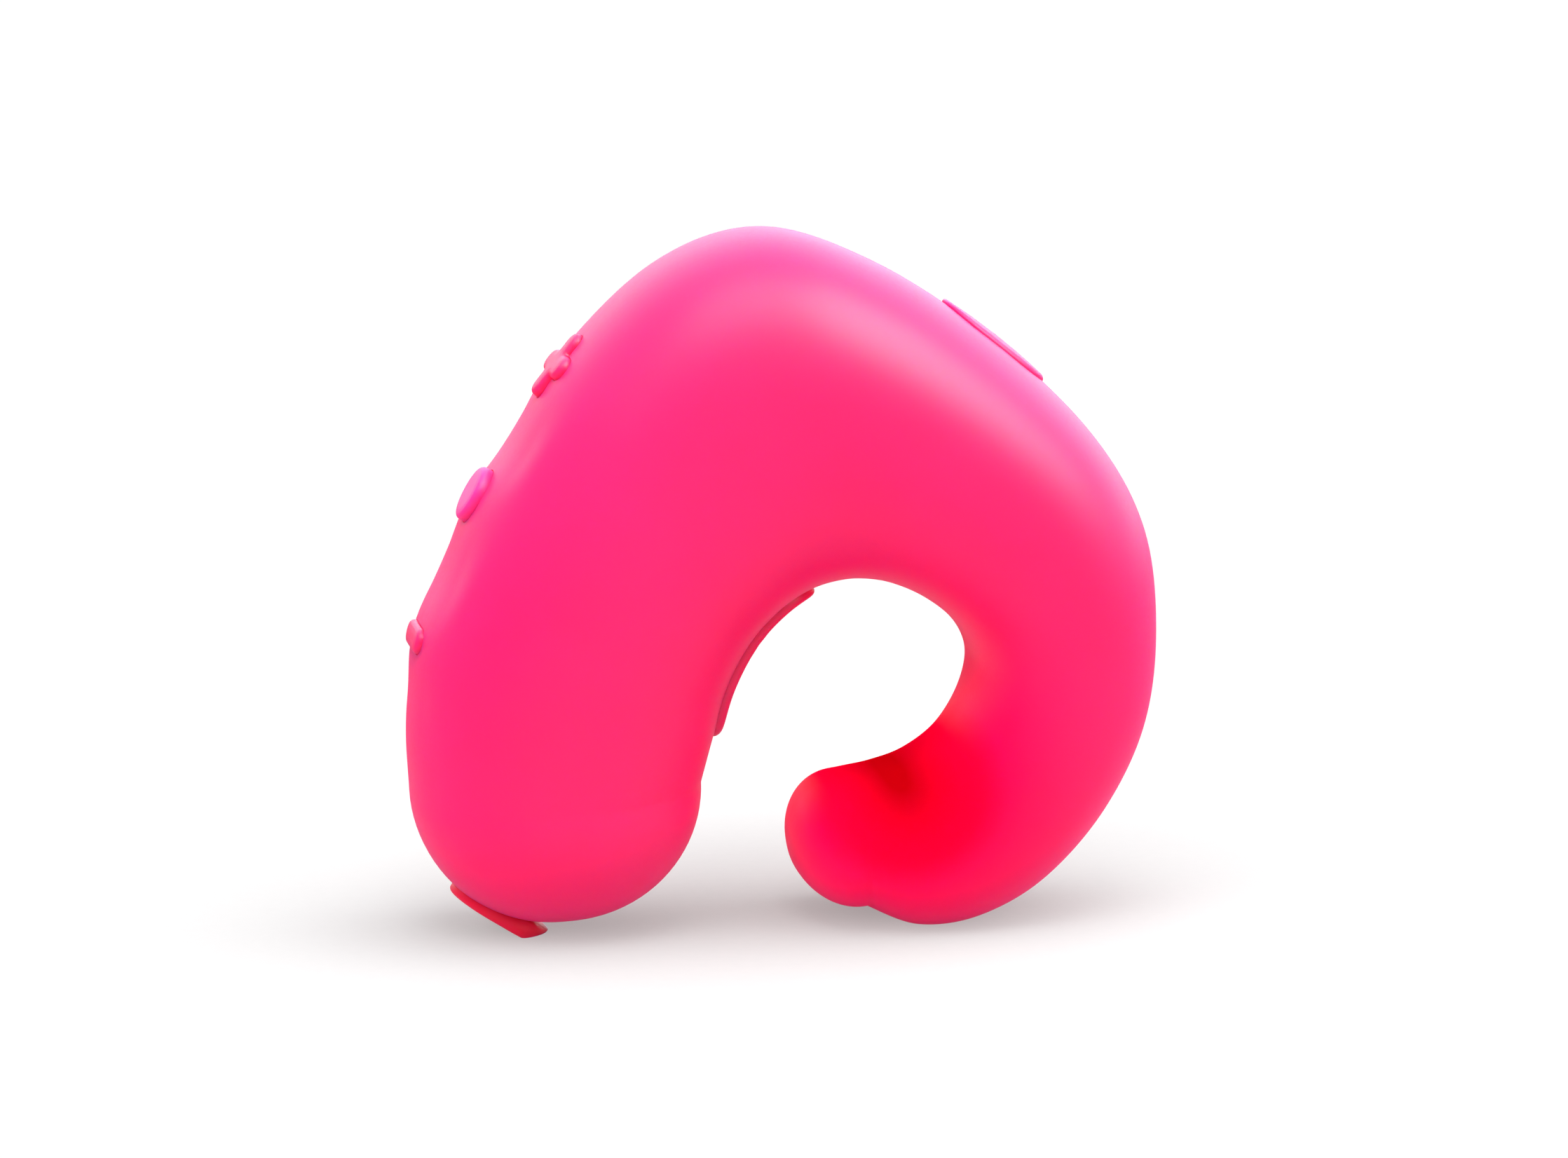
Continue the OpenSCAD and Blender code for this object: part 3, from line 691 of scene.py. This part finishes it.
# ---------------------------------------------------------------- finishes of the CAD nodes
ABS_LIGHT = plain("case_abs", (0.66, 0.66, 0.65), (0.74, 0.74, 0.72), 0.5)
STEEL = plain("brushed_steel", (0.5, 0.5, 0.52), (0.66, 0.66, 0.68), 0.3, 1.0, 700,
              0.000002, (1, 1, 0.06))
DARK_STEEL = plain("sintered_metal", (0.16, 0.16, 0.17), (0.26, 0.26, 0.27), 0.42, 1.0, 1800)
FINISHES = {
    "shell_front": ABS_LIGHT,
    "shell_back": ABS_LIGHT,
    "shell_screws": STEEL,
    "circuit_board": board_material("board_green"),
    "tact_switches": plain("switch_black", (0.02, 0.02, 0.02), (0.05, 0.05, 0.05), 0.45),
    "board_chips": plain("chip_epoxy", (0.012, 0.012, 0.014), (0.03, 0.03, 0.033), 0.55, 0, 2600),
    "status_led": plain("led_lens", (0.8, 0.8, 0.66), (0.9, 0.9, 0.8), 0.18),
    "battery_cell": plain("cell_foil", (0.6, 0.61, 0.63), (0.75, 0.76, 0.78), 0.35, 0.9, 320,
                          0.00002),
    "battery_tape": plain("tape_foam", (0.74, 0.7, 0.58), (0.84, 0.8, 0.68), 0.85, 0, 1400,
                          0.00002),
    "motor_can": STEEL,
    "motor_end_cap": plain("cap_black", (0.02, 0.02, 0.022), (0.04, 0.04, 0.045), 0.5),
    "motor_magnet": DARK_STEEL,
    "motor_bushings": plain("bushing_bronze", (0.52, 0.3, 0.12), (0.66, 0.42, 0.18), 0.4, 1.0,
                            1500),
    "motor_sleeve": plain("sleeve_rubber", (0.015, 0.015, 0.016), (0.03, 0.03, 0.032), 0.8),
    "motor_coil": plain("coil_copper", (0.55, 0.2, 0.08), (0.75, 0.33, 0.13), 0.3, 1.0, 500,
                        0.00001, (1, 1, 14)),
    "motor_shaft": STEEL,
    "eccentric_weight": DARK_STEEL,
    "port_seal": plain("seal_rubber", (0.015, 0.015, 0.015), (0.03, 0.03, 0.03), 0.75),
    "port_magnets": plain("magnet_nickel", (0.6, 0.6, 0.58), (0.7, 0.7, 0.68), 0.2, 1.0),
    "contact_pins": plain("pin_gold", (0.78, 0.5, 0.16), (0.88, 0.6, 0.22), 0.2, 1.0),
    "battery_leads": plain("lead_red", (0.42, 0.015, 0.015), (0.55, 0.03, 0.03), 0.35),
    "motor_leads": plain("lead_blue", (0.02, 0.05, 0.32), (0.04, 0.08, 0.42), 0.35),
    "charge_leads": plain("lead_black", (0.015, 0.015, 0.015), (0.03, 0.03, 0.03), 0.35),
}
for key in KEY_STATIONS:
    FINISHES["plunger_" + key] = ABS_LIGHT
for name, mat in FINISHES.items():
    data = bpy.data.objects[name].data
    for i in range(max(1, len(data.materials))):
        if i < len(data.materials):
            data.materials[i] = mat
        else:
            data.materials.append(mat)

# ---------------------------------------------------------------- floor, light and camera
scene = bpy.context.scene
scene.view_settings.view_transform = "Standard"


# Soft painted shadows on the paper, darkening its glow: middle x and y, reach along x and y (mm),
# strength.
PAINTED_SHADOWS = [(0, 14, 62, 32, 0.26), (-21, 3, 20, 14, 0.38), (14, 3, 24, 14, 0.42)]
PAINTED_SHADOW_FALL = -1.3  # exponent of each painted shadow at its reach
PAPER_GLOW = 1.02
PAPER_GLOW_REFLECTED = 0.22
# The paper takes real light near the part. In metres, where that starts and stops to fade.
LIT_FROM = 0.03
LIT_TO = 0.12
GLOW_SHARE_NEAR = 0.7


def add_floor():
    """White paper: glows as if lit from behind like a light table, with soft painted shadows near
    the part.
    """
    reach = 6000
    corners = [(-reach, -reach, 0), (reach, -reach, 0), (reach, reach, 0), (-reach, reach, 0)]
    obj = new_object("paper_floor", corners, [(0, 1, 2, 3)])
    mat, tree, bsdf, xyz = node_material("paper_white")
    split = tree.nodes.new("ShaderNodeSeparateXYZ")
    tree.links.new(xyz, split.inputs["Vector"])
    after_painted_shadows = None
    # Each entry darkens the paper's glow: a painted shadow.
    for x, y, rx, ry, strength in PAINTED_SHADOWS:
        u = add_math(tree, "DIVIDE", add_math(tree, "SUBTRACT", split.outputs["X"], x * MM),
                     rx * MM)
        v = add_math(tree, "DIVIDE", add_math(tree, "SUBTRACT", split.outputs["Y"], y * MM),
                     ry * MM)
        r2 = add_math(tree, "ADD", add_math(tree, "MULTIPLY", u, u),
                      add_math(tree, "MULTIPLY", v, v))
        fall = add_math(tree, "EXPONENT", add_math(tree, "MULTIPLY", r2, PAINTED_SHADOW_FALL))
        left = add_math(tree, "SUBTRACT", 1.0, add_math(tree, "MULTIPLY", fall, strength))
        after_painted_shadows = left if after_painted_shadows is None else add_math(tree, "MULTIPLY", after_painted_shadows, left)
    fibre = add_noise(tree, xyz, 900, 4)
    tree.links.new(add_ramp(tree, fibre, [(0.3, (0.5, 0.5, 0.5)), (0.7, (0.53, 0.53, 0.53))]),
                   bsdf.inputs["Base Color"])
    bsdf.inputs["Roughness"].default_value = 0.9
    bsdf.inputs["Specular IOR Level"].default_value = 0.0
    glow = tree.nodes.new("ShaderNodeEmission")
    rays = tree.nodes.new("ShaderNodeLightPath")
    level = add_mix(tree, rays.outputs["Is Glossy Ray"], PAPER_GLOW, PAPER_GLOW_REFLECTED)
    tree.links.new(add_math(tree, "MULTIPLY", after_painted_shadows, level), glow.inputs["Strength"])
    far = tree.nodes.new("ShaderNodeVectorMath")
    far.operation = "LENGTH"
    tree.links.new(xyz, far.inputs[0])
    near = tree.nodes.new("ShaderNodeMapRange")
    near.interpolation_type = "SMOOTHSTEP"
    near.inputs["From Min"].default_value = LIT_FROM
    near.inputs["From Max"].default_value = LIT_TO
    near.inputs["To Min"].default_value = GLOW_SHARE_NEAR
    near.inputs["To Max"].default_value = 1.0
    tree.links.new(far.outputs["Value"], near.inputs["Value"])
    mix = tree.nodes.new("ShaderNodeMixShader")
    tree.links.new(near.outputs["Result"], mix.inputs["Fac"])
    tree.links.new(bsdf.outputs["BSDF"], mix.inputs[1])
    tree.links.new(glow.outputs["Emission"], mix.inputs[2])
    tree.links.new(mix.outputs["Shader"], tree.nodes["Material Output"].inputs["Surface"])
    set_material(obj, mat)


def add_light(name, at, size, power, part):
    """An area light on the part's middle, for the "matte" or the "gloss" share of its look."""
    data = bpy.data.lights.new(name, "AREA")
    data.shape = "RECTANGLE"
    data.size, data.size_y = size
    data.energy = power
    obj = bpy.data.objects.new(name, data)
    obj.visible_diffuse = part != "gloss"
    obj.visible_transmission = part != "gloss"
    obj.visible_glossy = part != "matte"
    obj.location = at
    obj.rotation_mode = "QUATERNION"
    obj.rotation_quaternion = (Vector(MIDDLE) - Vector(at)).to_track_quat("-Z", "Y")
    bpy.context.collection.objects.link(obj)


# The room shows white in the picture, and lights the part mostly from above, right and behind.
ROOM_BRIGHT = Vector((0.45, 0.45, 0.77)).normalized()
# Where the room's brightness starts and stops rising towards that side, and its two strengths.
MATTE_ROOM = (-0.7, 0.9, 0.16, 1.3)
GLOSS_ROOM = (-0.15, 0.95, 0.02, 3.4)


def room_strength(tree, towards, first, last, low, high):
    """Strength of the room as a smooth step over how far a ray points at its bright side."""
    m = tree.nodes.new("ShaderNodeMapRange")
    m.interpolation_type = "SMOOTHSTEP"
    m.inputs["From Min"].default_value = first
    m.inputs["From Max"].default_value = last
    m.inputs["To Min"].default_value = low
    m.inputs["To Max"].default_value = high
    tree.links.new(towards, m.inputs["Value"])
    return m.outputs["Result"]


def add_room():
    world = bpy.data.worlds.new("studio")
    scene.world = world
    world.use_nodes = True
    tree = world.node_tree
    background = tree.nodes["Background"]
    background.inputs["Color"].default_value = (1, 1, 1, 1)
    rays = tree.nodes.new("ShaderNodeLightPath").outputs
    way = tree.nodes.new("ShaderNodeTexCoord")
    towards = tree.nodes.new("ShaderNodeVectorMath")
    towards.operation = "DOT_PRODUCT"
    towards.inputs[1].default_value = ROOM_BRIGHT
    tree.links.new(way.outputs["Generated"], towards.inputs[0])
    matte = room_strength(tree, towards.outputs["Value"], *MATTE_ROOM)
    gloss = room_strength(tree, towards.outputs["Value"], *GLOSS_ROOM)
    lit = add_mix(tree, rays["Is Glossy Ray"], matte, gloss)
    tree.links.new(add_mix(tree, rays["Is Camera Ray"], lit, 1.0), background.inputs["Strength"])


add_floor()
add_room()

MIDDLE = (0, 0, 0.03)
add_light("top_softbox", (0.12, 0.02, 0.5), (0.5, 0.4), 2.6, "matte")
add_light("right_softbox", (0.45, 0.1, 0.3), (0.3, 0.4), 2.0, "matte")
add_light("left_fill", (-0.45, -0.35, 0.35), (0.3, 0.4), 2.2, "matte")
add_light("front_fill", (-0.1, -0.4, 0.6), (0.3, 0.3), 2.6, "matte")
add_light("right_sheen", (0.36, -0.26, 0.5), (0.5, 0.5), 12, "gloss")
add_light("top_sheen", (-0.12, -0.2, 0.6), (0.4, 0.4), 3.5, "gloss")

AZIMUTH = math.radians(-10)
ELEVATION = math.radians(11)
DISTANCE = 0.6
LENS = 148
AIM = Vector((0.0003, 0, 0.0325))
camera = bpy.data.cameras.new("camera")
camera.lens = LENS
camera.sensor_width = 36
camera_obj = bpy.data.objects.new("camera", camera)
back = Vector((math.sin(AZIMUTH) * math.cos(ELEVATION), -math.cos(AZIMUTH) * math.cos(ELEVATION),
               math.sin(ELEVATION)))
camera_obj.location = AIM + back * DISTANCE
camera_obj.rotation_mode = "QUATERNION"
camera_obj.rotation_quaternion = (-back).to_track_quat("-Z", "Y")
camera.clip_start, camera.clip_end = 0.01, 20
bpy.context.collection.objects.link(camera_obj)
scene.camera = camera_obj
